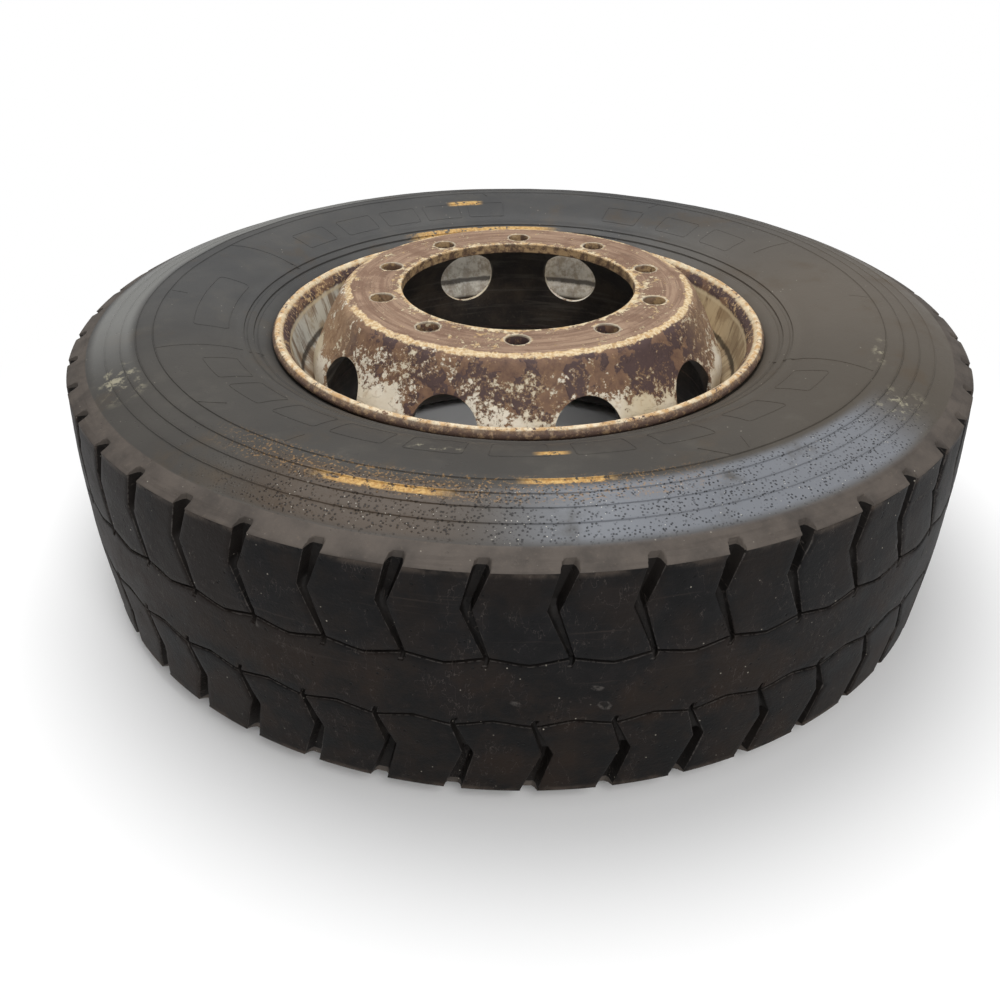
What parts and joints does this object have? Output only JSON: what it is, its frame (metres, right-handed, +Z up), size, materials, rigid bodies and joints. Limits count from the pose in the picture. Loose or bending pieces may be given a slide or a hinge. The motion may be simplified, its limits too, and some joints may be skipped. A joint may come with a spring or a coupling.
{
  "type": "worn truck tyre on a steel disc wheel",
  "caption": "Worn radial truck tyre on a rusty dished steel disc wheel, lying on its side; lug-grooved tread, centre bore, bolt circle, hand holes and valve.",
  "frame": {"origin": "on the floor, on the wheel's axis, under the flattened lower sidewall", "axes": "+Z up along the wheel's axis, towards the outer dished side of the disc; a bolt hole lies at -Y, a hand hole at +X"},
  "size_m": [1.06, 1.0598, 0.325],
  "materials": {
    "rubber": "worn matte black rubber, grey and scuffed on the sidewall, brown dirt on the tread",
    "rim_paint": "cream paint breaking up into orange and brown rust",
    "disc_rust": "smooth brown rust with flaking cream paint",
    "weld_rust": "dark rusty weld bead",
    "brass": "dull tarnished brass",
    "seal_rubber": "matte black rubber",
    "washer_steel": "dull steel with light rust",
    "cap_plastic": "dusty black plastic"
  },
  "bodies": {
    "root": {"tyre": "rubber", "rim": "rim_paint", "disc": "disc_rust", "weld": "weld_rust", "valve_stem": "brass", "valve_seal": "seal_rubber", "valve_washer": "washer_steel", "valve_nut": "brass", "valve_cap": "cap_plastic"}
  },
  "joints": []
}
